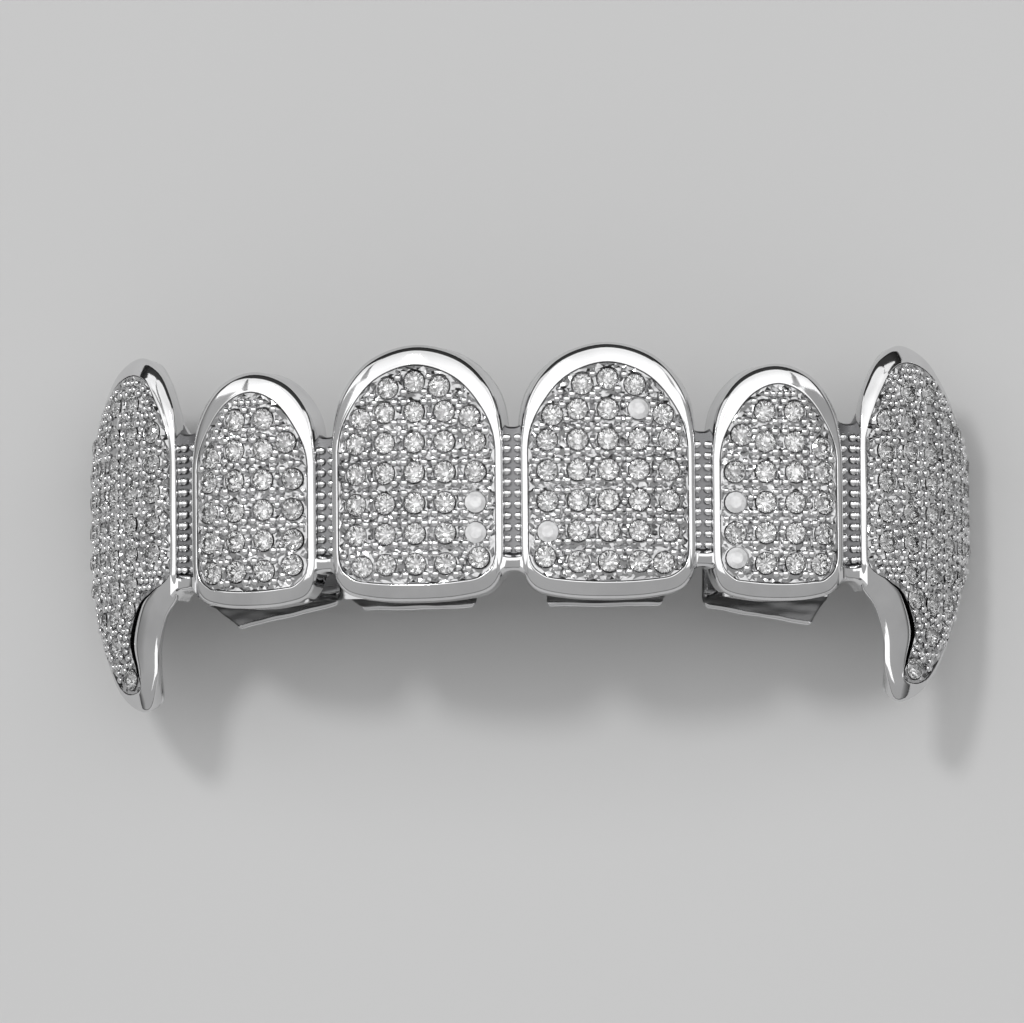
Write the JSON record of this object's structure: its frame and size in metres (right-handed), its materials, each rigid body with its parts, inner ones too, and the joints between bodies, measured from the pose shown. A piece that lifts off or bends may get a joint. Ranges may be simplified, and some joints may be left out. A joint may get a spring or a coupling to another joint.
{
  "type": "fanged top tooth grill set with pave stones",
  "caption": "Polished cast tooth grill for the front upper teeth, with a raised rim and a plate of pave set clear stones on each cap, fangs at both ends, bridges between and hooks behind.",
  "frame": {"origin": "middle of the bounding box at its lowest plane, where the outer edges of the two fangs rest", "axes": "+Z out of the faces of the front caps, +Y towards the gum, +X to the right of someone who looks at the faces"},
  "size_m": [0.0464, 0.0188, 0.0134],
  "materials": {
    "polished_metal": "mirror polished white plating on a cast base metal",
    "pave_stones": "clear cut stones with bright foil backs, bead set in a polished white metal plate"
  },
  "bodies": {
    "root": {"cast_frame": "polished_metal", "pave_central_left": "pave_stones", "pave_central_right": "pave_stones", "pave_lateral_left": "pave_stones", "pave_lateral_right": "pave_stones", "pave_fang_left": "pave_stones", "pave_fang_right": "pave_stones"}
  },
  "joints": []
}
